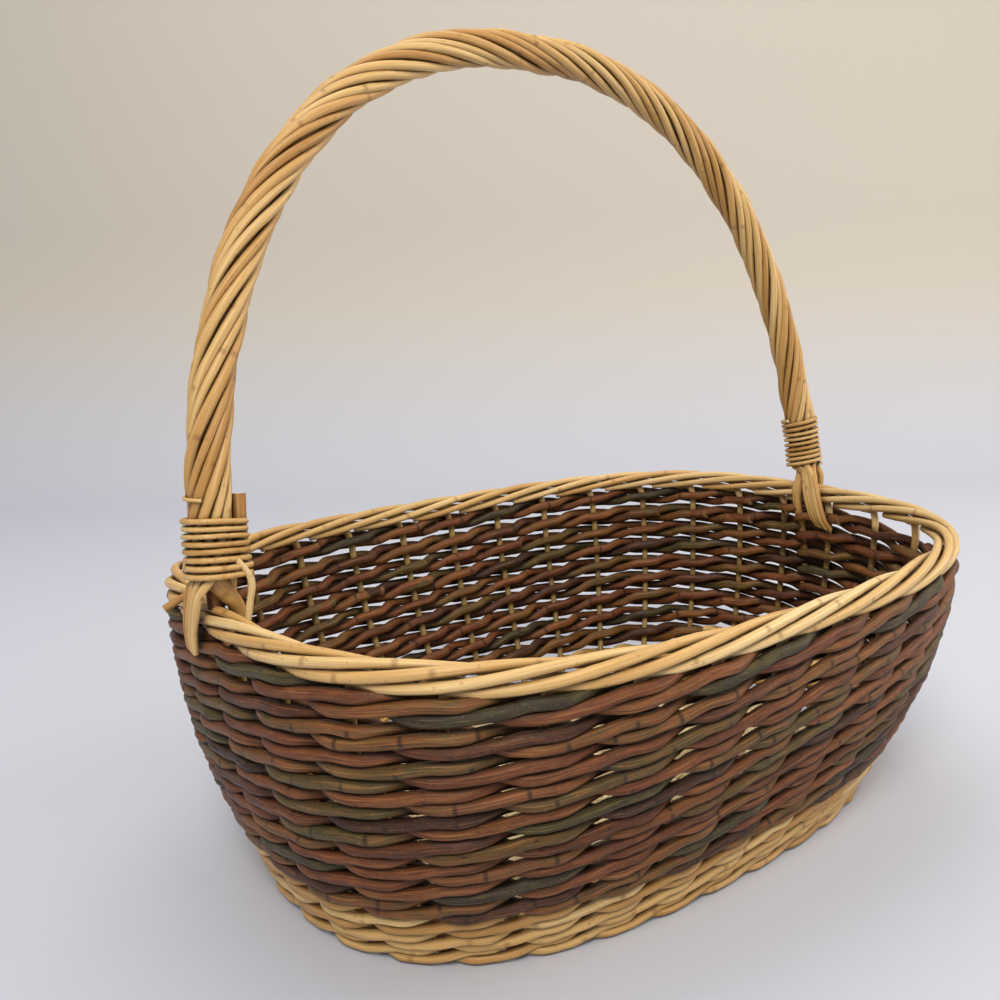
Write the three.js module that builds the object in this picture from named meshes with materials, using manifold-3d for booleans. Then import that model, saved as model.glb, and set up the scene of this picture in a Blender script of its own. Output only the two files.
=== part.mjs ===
import * as THREE from 'three';
import { mergeVertices } from 'three/addons/utils/BufferGeometryUtils.js';
import Module from 'manifold-3d';

// Oval gathering basket of willow rods, in millimetres, +Z up.
// The origin is on the floor under the middle of the base.
// X runs along the basket, and the handle stands over the two ends.

// Driving sizes of the basket's body
const rimHalfLength = 240;
const rimHalfWidth = 197;
const baseHalfLength = 206;
const baseHalfWidth = 141;
const borderHeight = 173;
const endLift = 6;
const footHeight = 9;
const endFlare = 2.3;
const sideFlare = 1.51;
const baseSquareness = 2.57;
const rimSquareness = 2.93;
const lowWallLevel = 45;
const highWallLevel = 105;

// Stakes, the upright rods, whose tops are laid down as the border
const stakeCount = 32;
const stakeThickness = 4.2;
const stakeToeLength = 26;
const floorClearance = 0.6;
const borderStrands = 5;
const borderRadius = 5.75;

// Weavers, which run in front of two stakes and behind one
const weaverRadius = 3.25;
const strokeStandOff = 0.8;
const deepStroke = 1.5;
const strokeHalfRise = 3.5;
const waleRounds = 3;
const waleRoundHeight = 12.7;
const sidingRoundHeight = 14.2;
const weaverCount = 3;
const sidingRodsPerWeaver = 5;
const stepUpStakes = 4;

// Where a stroke turns, in stakes from the one that it passes behind
const strokeTurns = {
  head: 0.22,
  settle: 0.15,
  surface: 0.45,
  besideStake: 0.06,
  beforeTongue: 0.58,
  besideTongue: 0.36,
  afterTongue: 0.6,
};

// Base: long sticks in a bundle that fan out at their ends, sticks across them, and
// close weaving round both, which rises where it passes over and under a stick
const baseThickness = 7;
const longStickThickness = 4;
const crossStickThickness = 3.6;
const longStickSpacing = 6.5;
const crossStickSpacing = 34;
const baseStickMargin = 8;
const longStickCount = 5;
const crossStickCount = 7;
const fanTurn = 26;
const fanStart = 8;
const slathOverhang = 10;
const slathHalfWidth = 16;
const weaveRelief = 1.2;

// Handle: a bow, four bands of wrapping rods and two bindings
const handleRise = 316;
const handleRoundness = 2.26;
const handleLean = 36;
const bowRadius = 6.2;
const bowSides = 6;
const tongueWidth = 6;
const tongueThickness = 4.4;
const tongueTipThickness = 1.4;
const tongueDepth = 75;
const tongueEntryDepth = 57;
const tongueSlype = 8;
const tongueStandOff = 0.5;
const shoulderStart = 9;
const wrapBands = 4;
const wrapOuterRadius = 12;
const wrapTurn = 170;
const wrapStart = 24;
const wrapSteps = 40;
const wrapEdgeAngle = 0.66;
const wrapShoulderAngle = 0.45;
const wrapCrown = 0.5;
const tailWidth = 11;
const tailThickness = 3.2;
const tailSideStep = 5;
const tailShoulder = 7;
const tailEdgeShare = 0.75;
const tailEdgeThickness = 0.6;
const outerTailDrop = 18;
const innerTailDrop = 5;
const bindingRadius = 1.65;
const bindingPitch = 4;
const bindingSteps = 10;
const bindingSides = 5;
const nearBindingStart = 24;
const nearBindingTurns = 8;
const farBindingStart = 24;
const farBindingTurns = 10;

// Room left between pieces that press on each other
const clearance = 0.3;

const wasm = await Module();
wasm.setup();

const group = new THREE.Group();

const finishes = {
  buffStake: { color: 0xb59a62, roughness: 0.62, metalness: 0 },
  buffWeaver: { color: 0xc8a663, roughness: 0.55, metalness: 0 },
  buffHandle: { color: 0xcfae72, roughness: 0.5, metalness: 0 },
  brownBark: { color: 0x5b3526, roughness: 0.5, metalness: 0 },
  gingerBark: { color: 0x7d4526, roughness: 0.5, metalness: 0 },
  oliveBark: { color: 0x4e4a2a, roughness: 0.52, metalness: 0 },
  baseWillow: { color: 0xc9b78c, roughness: 0.65, metalness: 0 },
};

function addPiece(name, geometry, finish) {
  geometry.computeVertexNormals();
  const mesh = new THREE.Mesh(geometry, new THREE.MeshStandardMaterial(finish));
  mesh.name = name;
  group.add(mesh);
}

// A rod lofted through sections, each a list of corner points, with flat ends,
// or with its last section joined to its first one where it is a ring.
// Each of its faces is split along the shorter way across, so that twisted faces stay full
function loftGeometry(sections, isRing = false) {
  const sides = sections[0].length;
  const corners = sides * sections.length;
  const spans = isRing ? sections.length : sections.length - 1;
  const points = sections.flat();
  const positions = points.flatMap((p) => [p.x, p.y, p.z]);
  const indices = [];
  for (let i = 0; i < spans; i += 1) {
    for (let j = 0; j < sides; j += 1) {
      const a = i * sides + j;
      const b = i * sides + ((j + 1) % sides);
      const nextA = (a + sides) % corners;
      const nextB = (b + sides) % corners;
      if (points[a].distanceTo(points[nextB]) <= points[b].distanceTo(points[nextA])) {
        indices.push(a, nextB, b, a, nextA, nextB);
      } else {
        indices.push(a, nextA, b, b, nextA, nextB);
      }
    }
  }
  const last = corners - sides;
  for (let j = 1; !isRing && j + 1 < sides; j += 1) {
    indices.push(0, j, j + 1, last, last + j + 1, last + j);
  }
  const geometry = new THREE.BufferGeometry();
  geometry.setAttribute('position', new THREE.Float32BufferAttribute(positions, 3));
  geometry.setIndex(indices);
  return geometry;
}

// Corner points of a section at a place, from its two cross directions
function sectionAt(centre, across, up, corners) {
  return corners.map(([a, b]) => centre.clone().addScaledVector(across, a).addScaledVector(up, b));
}

const smooth = (x) => {
  const t = Math.min(1, Math.max(0, x));
  return t * t * (3 - 2 * t);
};
const mix = (a, b, t) => a + (b - a) * t;

// The wall: rounded oval rings that flare from the foot to the border.
// Each ring is measured along its length, so that stakes stand evenly on it.
const wallLevels = [0, footHeight, lowWallLevel, highWallLevel, borderHeight];
const ringSamples = 720;

function ringPoint(z, angle) {
  const h = Math.min(1, Math.max(0, (z - footHeight) / (borderHeight - footHeight)));
  const halfLength = mix(baseHalfLength, rimHalfLength, 1 - (1 - h) ** endFlare);
  const halfWidth = mix(baseHalfWidth, rimHalfWidth, 1 - (1 - h) ** sideFlare);
  const power = 2 / mix(baseSquareness, rimSquareness, Math.min(1, 2 * h));
  const c = Math.cos(angle);
  const s = Math.sin(angle);
  const endShare = Math.abs(c) ** power;
  const x = halfLength * Math.sign(c) * endShare;
  const y = halfWidth * Math.sign(s) * Math.abs(s) ** power;
  return new THREE.Vector3(x, y, z + (endLift * endShare ** 2 * z) / borderHeight);
}

const wallRings = wallLevels.map((z) => {
  const points = [];
  const lengths = [0];
  for (let i = 0; i <= ringSamples; i += 1) {
    points.push(ringPoint(z, (2 * Math.PI * i) / ringSamples));
    if (i > 0) {
      lengths.push(lengths[i - 1] + points[i].distanceTo(points[i - 1]));
    }
  }
  return { points, lengths };
});

// Point of a ring at a count of stakes from the +X end, half a space before the first stake
function onRing(ring, count) {
  const share = (((count + 0.5) / stakeCount) % 1 + 1) % 1;
  const want = share * ring.lengths[ringSamples];
  let low = 0;
  let high = ringSamples;
  while (high - low > 1) {
    const middle = (low + high) >> 1;
    if (ring.lengths[middle] <= want) {
      low = middle;
    } else {
      high = middle;
    }
  }
  const part = (want - ring.lengths[low]) / (ring.lengths[high] - ring.lengths[low]);
  return ring.points[low].clone().lerp(ring.points[high], part);
}

function wallPoint(count, z) {
  let level = 0;
  while (level + 2 < wallLevels.length && z > wallLevels[level + 1]) {
    level += 1;
  }
  const part = (z - wallLevels[level]) / (wallLevels[level + 1] - wallLevels[level]);
  return onRing(wallRings[level], count).lerp(onRing(wallRings[level + 1], count), part);
}

// Directions along the round, up the wall and out of it.
// The upward one is taken over a short reach, so that it turns gently at the foot
const frameReach = 3.8;
const frameStep = 0.02;

function wallFrame(count, z) {
  const along = wallPoint(count + frameStep, z).sub(wallPoint(count - frameStep, z)).normalize();
  const up = wallPoint(count, z + frameReach).sub(wallPoint(count, z - frameReach)).normalize();
  const out = new THREE.Vector3().crossVectors(along, up).normalize();
  return { along, up: new THREE.Vector3().crossVectors(out, along), out };
}

// Heights of the rounds of weaving
const stakeHalf = stakeThickness / 2;
const weaverTop = weaverRadius;
const weaverUnder = weaverRadius / 2;
const weaverSide = weaverRadius * Math.sin(Math.PI / 3);
const strokeReach = stakeHalf + weaverSide + clearance;
const firstRound = strokeHalfRise + weaverUnder;
const lastWaleRound = firstRound + (waleRounds - 1) * waleRoundHeight;
const borderBottom = borderHeight - borderRadius;
const borderUnderside = borderBottom - stakeHalf;
const lastRound = borderUnderside - clearance - strokeHalfRise - weaverTop;
const sidingRounds = Math.round((lastRound - lastWaleRound) / sidingRoundHeight);
const sidingStep = (lastRound - lastWaleRound) / sidingRounds;
const rounds = waleRounds + sidingRounds;

function roundHeight(round) {
  if (round < waleRounds) {
    return firstRound + round * waleRoundHeight;
  }
  return lastWaleRound + (round - waleRounds + 1) * sidingStep;
}

// Each round lies level and steps up to the next over its last few stakes
function weaverHeight(count) {
  const round = Math.max(0, Math.floor(count / stakeCount));
  const before = (round + 1) * stakeCount - count;
  const rise = smooth(1 - before / stepUpStakes);
  return mix(roundHeight(round), roundHeight(Math.min(round + 1, rounds)), rise);
}

function isClimbing(count) {
  const left = stakeCount - (count % stakeCount);
  return left < stepUpStakes + 1 || left > stakeCount - 1;
}

// The handle's slyped tongues stand in the weaving midway between two stakes at each end
function tongueShift(z) {
  const atBorder = borderRadius + stakeHalf + clearance * 2 + tongueThickness / 2 + tongueStandOff;
  const share = (z - (borderHeight - tongueEntryDepth)) / tongueEntryDepth;
  return -atBorder * Math.min(1, Math.max(0, share));
}

function tongueInGap(count, z) {
  const gap = ((Math.floor(count + 0.5) % stakeCount) + stakeCount) % stakeCount;
  const atEnd = gap === 0 || gap === stakeCount / 2;
  return atEnd && z > borderHeight - tongueDepth - 2 * weaverRadius;
}

// One weaver's route: behind a stake, then in front of two and behind one, over and over
function weaverRoute(start, end) {
  const route = [];
  const frontReach = strokeReach + strokeStandOff;
  for (let back = start; back <= end; back += 3) {
    const z = weaverHeight(back);
    const tongueRoom = tongueShift(z) - tongueThickness / 2 - weaverSide - 3 * clearance;
    const tongueBefore = tongueInGap(back - 0.5, z);
    const tongueAfter = tongueInGap(back + 0.5, z);
    const behindTongue = Math.min(-strokeReach, tongueRoom);
    const deep = Math.min(-strokeReach * deepStroke, tongueBefore || tongueAfter ? tongueRoom : 0);
    if (tongueBefore && back > start) {
      route.push({ count: back - strokeTurns.beforeTongue, out: behindTongue, lift: 1 });
    }
    if (back > start) {
      route.push({ count: back + strokeTurns.settle, out: deep, lift: 1 });
    }
    if (back < end) {
      if (back === start) {
        route.push({ count: back + strokeTurns.head, out: -strokeReach, lift: -1 });
      }
      if (tongueAfter) {
        route.push({ count: back + strokeTurns.besideTongue, out: behindTongue, lift: -1 });
        route.push({ count: back + strokeTurns.afterTongue, out: behindTongue, lift: -1 });
      } else {
        route.push({ count: back + strokeTurns.surface, out: -strokeReach, lift: -1 });
      }
      route.push({ count: back + 1 - strokeTurns.besideStake, out: frontReach, lift: -1 });
      route.push({ count: back + 2 + strokeTurns.besideStake, out: frontReach, lift: 1 });
    }
  }
  return route;
}

// Points halfway between those of a route, where the round climbs
const longestStep = 0.5;

function fineRoute(route) {
  return route.flatMap((here, i) => {
    const next = route[i + 1];
    const middle = next ? (here.count + next.count) / 2 : 0;
    if (!next || !isClimbing(middle) || next.count - here.count < longestStep) {
      return [here];
    }
    return [here, { count: middle, out: (here.out + next.out) / 2, lift: (here.lift + next.lift) / 2 }];
  });
}

const weaverCorners = [
  [0, weaverTop],
  [-weaverSide, -weaverUnder],
  [weaverSide, -weaverUnder],
];

function weaverGeometry(start, end) {
  const sections = fineRoute(weaverRoute(start, end)).map(({ count, out, lift }) => {
    const z = weaverHeight(count) + lift * strokeHalfRise;
    const frame = wallFrame(count, weaverHeight(count));
    const centre = wallPoint(count, z).addScaledVector(frame.out, out);
    return sectionAt(centre, frame.out, frame.up, weaverCorners);
  });
  return loftGeometry(sections);
}

function addWale() {
  for (let rod = 0; rod < weaverCount; rod += 1) {
    const end = rod + waleRounds * stakeCount;
    const geometry = weaverGeometry(rod, end - ((end - rod) % weaverCount));
    addPiece(`wale_rod_${rod + 1}`, geometry, finishes.buffWeaver);
  }
}

function addSiding() {
  const barks = [finishes.brownBark, finishes.gingerBark, finishes.oliveBark];
  const first = waleRounds * stakeCount;
  const last = rounds * stakeCount - stepUpStakes;
  for (let rod = 0; rod < weaverCount; rod += 1) {
    const start = first + rod - ((first % weaverCount) + weaverCount) % weaverCount;
    const strokes = Math.floor((last - start) / weaverCount);
    for (let part = 0; part < sidingRodsPerWeaver; part += 1) {
      const from = start + weaverCount * Math.round((strokes * part) / sidingRodsPerWeaver);
      const to = start + weaverCount * Math.round((strokes * (part + 1)) / sidingRodsPerWeaver);
      const number = String(part * weaverCount + rod + 1).padStart(2, '0');
      addPiece(`siding_rod_${number}`, weaverGeometry(from, to), barks[(rod + part) % barks.length]);
    }
  }
}

// A stake: its toe lies under the base, it stands in the wall, and its top is
// kinked over and winds once round the border's bundle on its way along the rim
function stakeGeometry(index) {
  const square = [[1, 1], [1, -1], [-1, -1], [-1, 1]].map(([a, b]) => [a * stakeHalf, b * stakeHalf]);
  const sections = [];
  const toeHeight = floorClearance + stakeHalf;
  const foot = wallFrame(index, toeHeight);
  const level = new THREE.Vector3(0, 0, 1);
  const inward = foot.out.clone().negate();
  const toe = wallPoint(index, toeHeight).addScaledVector(inward, stakeToeLength);
  sections.push(sectionAt(toe, foot.along, level.clone(), square));
  const kink = level.clone().add(inward);
  sections.push(sectionAt(wallPoint(index, toeHeight), foot.along, kink, square));
  for (const z of wallLevels.slice(1, -1)) {
    const frame = wallFrame(index, z);
    sections.push(sectionAt(wallPoint(index, z), frame.along, frame.out.clone().negate(), square));
  }
  const topAlong = wallFrame(index, borderBottom).along;
  const bend = topAlong.clone().sub(level);
  sections.push(sectionAt(wallPoint(index, borderBottom), bend, outOf(topAlong).negate(), square));
  const halfSteps = 2 * borderStrands - 1;
  const endCount = borderStrands - (stakeHalf + 3 * clearance) / rimSpacing;
  for (let i = 1; i <= halfSteps + 1; i += 1) {
    const travel = i > halfSteps ? endCount : i / 2;
    const along = wallFrame(index + travel, borderBottom).along;
    const out = outOf(along);
    const angle = (2 * Math.PI * travel) / borderStrands - Math.PI / 2;
    const radial = out.clone().multiplyScalar(Math.cos(angle)).addScaledVector(level, Math.sin(angle));
    const turned = out.clone().multiplyScalar(-Math.sin(angle)).addScaledVector(level, Math.cos(angle));
    const centre = wallPoint(index + travel, borderBottom)
      .addScaledVector(level, borderRadius)
      .addScaledVector(radial, borderRadius);
    sections.push(sectionAt(centre, radial, turned.negate(), square));
  }
  return loftGeometry(sections);
}

// Level direction out of the basket, square to the rim
function outOf(along) {
  return new THREE.Vector3(along.y, -along.x, 0).normalize();
}

const rimSpacing = wallRings[wallRings.length - 1].lengths[ringSamples] / stakeCount;

function addStakes() {
  for (let index = 0; index < stakeCount; index += 1) {
    addPiece(`stake_${String(index + 1).padStart(2, '0')}`, stakeGeometry(index), finishes.buffStake);
  }
}

// Solids for cutting one piece out of another
function solidOf(geometry) {
  const bare = geometry.clone();
  bare.deleteAttribute('normal');
  bare.deleteAttribute('uv');
  const welded = mergeVertices(bare, 1e-4);
  return new wasm.Manifold(new wasm.Mesh({
    numProp: 3,
    vertProperties: Float32Array.from(welded.attributes.position.array),
    triVerts: Uint32Array.from(welded.index.array),
  }));
}

function geometryOf(solid) {
  const mesh = solid.getMesh();
  const geometry = new THREE.BufferGeometry();
  geometry.setAttribute('position', new THREE.BufferAttribute(Float32Array.from(mesh.vertProperties), 3));
  geometry.setIndex(Array.from(mesh.triVerts));
  return geometry;
}

// Base: an oval ring of close weaving, whose edge lies on the stakes' toes inside the
// first round of the wale, round the crossing sticks that show in its middle
const baseBottom = floorClearance + stakeThickness + clearance;
const baseMiddle = baseBottom + baseThickness / 2;
const baseInset = strokeReach * deepStroke + weaverSide + clearance;
const matHalfLength = baseHalfLength - baseInset;
const matHalfWidth = baseHalfWidth - baseInset;
const slathHalfLength = ((crossStickCount - 1) / 2) * crossStickSpacing + slathOverhang;

// Points of an oval of the mat's shape, and the angle on it of a place along X
function matOval(angle, margin) {
  const power = 2 / baseSquareness;
  const c = Math.cos(angle);
  const s = Math.sin(angle);
  return new THREE.Vector3(
    (matHalfLength - margin) * Math.sign(c) * Math.abs(c) ** power,
    (matHalfWidth - margin) * Math.sign(s) * Math.abs(s) ** power,
    baseMiddle,
  );
}

function matAngle(x) {
  const share = Math.min(1, Math.abs(x) / matHalfLength) ** (baseSquareness / 2);
  return x < 0 ? Math.PI - Math.acos(share) : Math.acos(share);
}

// Angles at which the sticks cross the mat's edge: those across it, and the fans at the ends
const stickPlaces = (count) => Array.from({ length: count }, (_, i) => i - (count - 1) / 2);
const crossPlaces = stickPlaces(crossStickCount).map((place) => place * crossStickSpacing);
const fanAngles = stickPlaces(longStickCount).map((place) => THREE.MathUtils.degToRad(place * fanTurn));
const crossAngles = crossPlaces.map(matAngle);
const stickAngles = [
  ...fanAngles,
  ...crossAngles.slice().reverse(),
  ...fanAngles.map((angle) => Math.PI + angle),
  ...crossAngles.map((angle) => 2 * Math.PI - angle),
];

// The mat's spokes lie over each stick, where it is thick, and midway between, where it is thin
function baseMat() {
  const spokes = stickAngles.flatMap((angle, i) => {
    const next = stickAngles[i + 1] ?? stickAngles[0] + 2 * Math.PI;
    return [{ angle, dip: 0 }, { angle: (angle + next) / 2, dip: weaveRelief }];
  });
  const ring = (share, side) => spokes.map(({ angle, dip }) => {
    const edge = matOval(angle, 0);
    const inner = new THREE.Vector3(
      Math.min(slathHalfLength, Math.max(-slathHalfLength, edge.x)),
      0,
      baseMiddle,
    );
    inner.lerp(edge, share).z += side * (baseThickness / 2 - dip * share);
    return inner;
  }).reverse();
  const opening = slathHalfWidth / matHalfWidth;
  return loftGeometry([ring(opening, -1), ring(1, -1), ring(1, 1), ring(opening, 1)], true);
}

// The lattice of sticks, grown all round by some room.
// The cross sticks are a little thinner and pass through the middle of the long ones
function baseLattice(room) {
  const thick = longStickThickness / 2 + room;
  const square = [[1, 1], [1, -1], [-1, -1], [-1, 1]].map(([a, b]) => [a * thick, b * thick]);
  const level = new THREE.Vector3(0, 0, 1);
  let lattice;
  longStickPaths(room).forEach((path) => {
    const sections = path.map((point, i) => {
      const before = path[Math.max(0, i - 1)];
      const after = path[Math.min(path.length - 1, i + 1)];
      const along = after.clone().sub(before).normalize();
      return sectionAt(point, outOf(along).negate(), level, square);
    });
    const stick = solidOf(loftGeometry(sections));
    lattice = lattice ? lattice.add(stick) : stick;
  });
  crossPlaces.forEach((x) => {
    const length = 2 * (matOval(matAngle(x), 0).y - baseStickMargin);
    const size = [crossStickThickness, length, crossStickThickness].map((side) => side + 2 * room);
    lattice = lattice.add(solidOf(new THREE.BoxGeometry(...size).translate(x, 0, baseMiddle)));
  });
  return lattice;
}

// Long sticks lie side by side through the crossing and fan out beyond it
function longStickPaths(room) {
  return stickPlaces(longStickCount).map((place, i) => {
    const bend = new THREE.Vector3(slathHalfLength - fanStart, place * longStickSpacing, baseMiddle);
    const tip = matOval(fanAngles[i], baseStickMargin);
    const far = tip.clone().addScaledVector(tip.clone().sub(bend).normalize(), room);
    const mirrored = ({ x, y, z }) => new THREE.Vector3(-x, y, z);
    return [mirrored(far), mirrored(bend), bend, far];
  });
}

function addBase() {
  const mat = solidOf(baseMat()).subtract(baseLattice(clearance));
  addPiece('base_weave', geometryOf(mat), finishes.baseWillow);
  addPiece('base_slath', geometryOf(baseLattice(0)), finishes.buffStake);
}

// Line of the handle's arch, from the far end of the basket to the near one
const archSamples = 1200;
const archLine = [];
const archLengths = [0];
for (let i = 0; i <= archSamples; i += 1) {
  const turn = (Math.PI * i) / archSamples;
  const power = 2 / handleRoundness;
  const c = Math.cos(turn);
  const lift = Math.abs(Math.sin(turn)) ** power;
  const x = rimHalfLength * Math.sign(c) * Math.abs(c) ** power;
  archLine.push(new THREE.Vector3(x, handleLean * lift, borderHeight + endLift + handleRise * lift));
  if (i > 0) {
    archLengths.push(archLengths[i - 1] + archLine[i].distanceTo(archLine[i - 1]));
  }
}
const archLength = archLengths[archSamples];
const archSide = new THREE.Vector3(0, -handleRise, handleLean).normalize();

function archFrame(length) {
  let i = 1;
  while (i < archSamples && archLengths[i] < length) {
    i += 1;
  }
  const part = (length - archLengths[i - 1]) / (archLengths[i] - archLengths[i - 1]);
  const along = archLine[i].clone().sub(archLine[i - 1]).normalize();
  return {
    centre: archLine[i - 1].clone().lerp(archLine[i], part),
    radial: new THREE.Vector3().crossVectors(archSide, along).normalize(),
    along,
  };
}

// Place round the arch's line at a radius and an angle
function roundArch(frame, radius, angle) {
  return frame.centre.clone()
    .addScaledVector(frame.radial, radius * Math.cos(angle))
    .addScaledVector(archSide, radius * Math.sin(angle));
}

// The bow and its wraps turn together, a whole number of bow sides from end to end
const wrapRun = archLength - 2 * wrapStart;
const wrapTwist = (2 * Math.PI * Math.round((bowSides * wrapRun) / wrapTurn)) / bowSides;
const wrapStations = [];
for (let i = 0; i <= wrapSteps; i += 1) {
  const frame = archFrame(wrapStart + (wrapRun * i) / wrapSteps);
  wrapStations.push({ frame, turn: Math.PI / bowSides + (wrapTwist * i) / wrapSteps });
}

// Leg of the bow: centre line and half sizes from the tongue's tip to below the wraps
function bowLeg(count) {
  const border = borderHeight;
  const stations = [
    [border - tongueDepth, tongueTipThickness],
    [border - tongueDepth + tongueSlype, tongueThickness],
    [border - tongueEntryDepth, tongueThickness],
    [border, tongueThickness],
    [border + shoulderStart, tongueThickness],
  ];
  return stations.map(([z, thickness]) => {
    const centre = wallPoint(count, Math.min(z, border));
    centre.z += Math.max(0, z - border);
    centre.addScaledVector(outOf(wallFrame(count, border / 2).along), tongueShift(z));
    return { centre, halfWidth: tongueWidth / 2, halfThickness: thickness / 2 };
  });
}

function bowGeometry() {
  const far = bowLeg(-0.5);
  const near = bowLeg(stakeCount / 2 - 0.5).reverse();
  const centres = [...far, ...wrapStations.map(({ frame }) => frame), ...near].map(({ centre }) => centre);
  const sections = centres.map((centre, i) => {
    const leg = far[i] || near[i - far.length - wrapStations.length];
    const before = centres[Math.max(0, i - 1)];
    const after = centres[Math.min(centres.length - 1, i + 1)];
    const along = after.clone().sub(before).normalize();
    const radial = new THREE.Vector3().crossVectors(archSide, along).normalize();
    const section = [];
    for (let side = 0; side < bowSides; side += 1) {
      if (leg) {
        const angle = Math.PI / bowSides - (2 * Math.PI * side) / bowSides;
        const stretch = 1 / Math.cos(Math.PI / bowSides);
        section.push(centre.clone()
          .addScaledVector(radial, leg.halfThickness * stretch * Math.cos(angle))
          .addScaledVector(archSide, leg.halfWidth * Math.sin(angle)));
      } else {
        const { frame, turn } = wrapStations[i - far.length];
        section.push(roundArch(frame, bowRadius, turn - (2 * Math.PI * side) / bowSides));
      }
    }
    return section;
  });
  return loftGeometry(sections);
}

// Depth of the bow's inner face inside the border's line, at a height over the border
function bowDepth(height) {
  const share = Math.min(1, (wrapStart - height) / (wrapStart - shoulderStart));
  return mix(bowRadius, tongueThickness / 2 - tongueShift(borderHeight), share);
}

// Tail of a wrap: below the binding it straddles the border, on its outside or its inside
function wrapTail(far, inside) {
  const count = far ? -0.5 : stakeCount / 2 - 0.5;
  const out = outOf(wallFrame(count, borderHeight / 2).along);
  const outward = inside ? out.clone().negate() : out;
  const across = new THREE.Vector3(0, inside ? -1 : 1, 0);
  const room = 2 * clearance + tailThickness / 2;
  const overBorder = Math.hypot(borderRadius + stakeHalf, stakeHalf) + room;
  const overWeave = strokeReach + strokeStandOff + weaverSide + room;
  const shoulder = wrapStart - tailShoulder;
  const outerStations = [
    [shoulder, overBorder],
    [0, overBorder],
    [-outerTailDrop / 2, overWeave],
    [-outerTailDrop, overWeave],
  ];
  const innerStations = [
    [shoulder, bowDepth(shoulder) + 2 * room],
    [shoulderStart, bowDepth(shoulderStart) + room],
    [-innerTailDrop, bowDepth(shoulderStart) + room],
  ];
  const stations = inside ? innerStations : outerStations;
  return stations.map(([height, reach], i) => {
    const centre = wallPoint(count, borderHeight + Math.min(0, height));
    centre.z += Math.max(0, height);
    centre.addScaledVector(outward, reach);
    centre.addScaledVector(across, tailSideStep * (1 - (i + 1) / stations.length));
    const thick = tailThickness / 2;
    const wide = tailWidth / 2;
    const edge = [thick * tailEdgeThickness, wide * tailEdgeShare];
    const corners = [[-thick, wide], edge, [thick, 0], [edge[0], -edge[1]], [-thick, -wide]];
    return sectionAt(centre, outward, across, corners);
  });
}

// Bands whose tails run on over the border, on its inside and on its outside
const innerTailBand = 0;
const outerTailBand = wrapBands / 2;

function wrapGeometry(band) {
  const inner = (bowRadius + clearance) / Math.cos(wrapEdgeAngle);
  const shoulder = wrapOuterRadius - wrapCrown;
  const corners = [
    [inner, wrapEdgeAngle],
    [shoulder, wrapShoulderAngle],
    [wrapOuterRadius, 0],
    [shoulder, -wrapShoulderAngle],
    [inner, -wrapEdgeAngle],
  ];
  const start = (2 * Math.PI * band) / wrapBands;
  const sections = wrapStations.map(({ frame, turn }) => (
    corners.map(([radius, angle]) => roundArch(frame, radius, start + turn + angle))
  ));
  const hasTail = band === innerTailBand || band === outerTailBand;
  const inside = band === innerTailBand;
  const before = hasTail ? wrapTail(true, inside).reverse() : [];
  const after = hasTail ? wrapTail(false, inside) : [];
  return loftGeometry([...before, ...sections, ...after]);
}

// A binding: one rod wound closely round the wraps
const bindingReach = (wrapOuterRadius + clearance) / Math.cos(Math.PI / bindingSteps) + bindingRadius;

function bindingGeometry(name, start, turns, far) {
  const centres = [];
  const sections = [];
  for (let i = 0; i <= turns * bindingSteps; i += 1) {
    const rise = start + (bindingPitch * i) / bindingSteps;
    const frame = archFrame(far ? rise : archLength - rise);
    const angle = (2 * Math.PI * i) / bindingSteps;
    const centre = roundArch(frame, bindingReach, angle);
    const outward = centre.clone().sub(frame.centre).normalize();
    const up = far ? frame.along : frame.along.clone().negate();
    const section = [];
    for (let side = 0; side < bindingSides; side += 1) {
      const corner = (2 * Math.PI * side) / bindingSides * (far ? 1 : -1);
      section.push(centre.clone()
        .addScaledVector(outward, bindingRadius * Math.cos(corner))
        .addScaledVector(up, bindingRadius * Math.sin(corner)));
    }
    centres.push(centre);
    sections.push(section);
  }
  let least = Infinity;
  for (let i = 0; i < centres.length; i += 1) {
    for (let j = i + bindingSteps / 2; j < centres.length; j += 1) {
      least = Math.min(least, centres[i].distanceTo(centres[j]) - 2 * bindingRadius);
    }
  }
  console.log(`${name}: least gap between its own turns ${least.toFixed(2)} mm`);
  return loftGeometry(sections);
}

function addHandle() {
  addPiece('handle_bow', bowGeometry(), finishes.buffHandle);
  for (let band = 0; band < wrapBands; band += 1) {
    addPiece(`handle_wrap_${band + 1}`, wrapGeometry(band), finishes.buffHandle);
  }
  const bindings = [
    ['near_handle_binding', nearBindingStart, nearBindingTurns, false],
    ['far_handle_binding', farBindingStart, farBindingTurns, true],
  ];
  for (const [name, start, turns, far] of bindings) {
    addPiece(name, bindingGeometry(name, start, turns, far), finishes.buffHandle);
  }
}

addWale();
addSiding();
addStakes();
addBase();
addHandle();

export default group;
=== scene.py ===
import math

import bpy
import numpy as np
from mathutils import Matrix, Vector


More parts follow.
